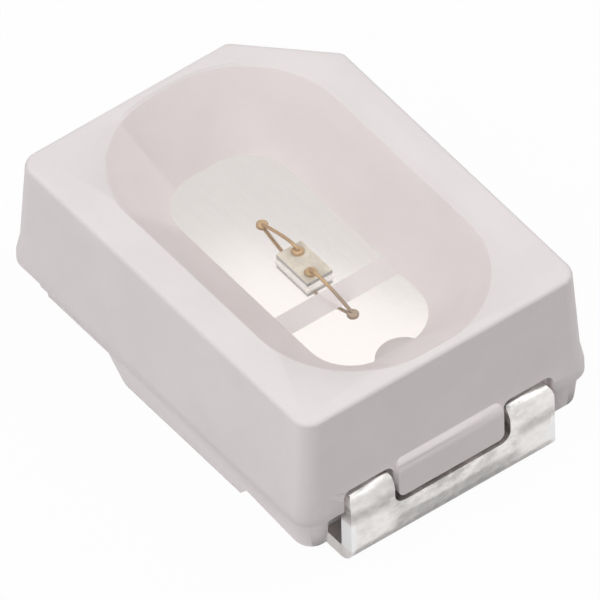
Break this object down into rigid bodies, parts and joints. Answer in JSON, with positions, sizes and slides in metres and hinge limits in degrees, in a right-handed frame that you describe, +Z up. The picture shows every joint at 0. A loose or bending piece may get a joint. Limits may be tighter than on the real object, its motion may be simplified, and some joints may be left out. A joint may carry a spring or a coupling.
{
  "type": "surface-mount light-emitting diode",
  "caption": "Two-terminal surface-mount light-emitting diode with a white moulded housing, an oblong resin-filled reflector cavity, a wire-bonded chip and J-shaped terminals.",
  "frame": {"origin": "centre of the seating plane, on which both terminals rest", "axes": "+X along the length towards the anode terminal, +Y across the width, +Z up out of the light-emitting face; the cut corner that marks the cathode is at (-X, +Y)"},
  "size_m": [0.003, 0.0022, 0.0013],
  "materials": {
    "housing": "fine moulded texture",
    "lead": "bright silver plate",
    "adhesive": "clear adhesive",
    "chip": "polished",
    "gold": "bright gold",
    "resin": "clear resin"
  },
  "bodies": {
    "root": {"housing": "housing", "cathode_lead": "lead", "anode_lead": "lead", "die_attach": "adhesive", "die": "chip", "cathode_wire": "gold", "anode_wire": "gold", "cathode_bump": "gold", "anode_bump": "gold", "encapsulant": "resin"}
  },
  "joints": []
}
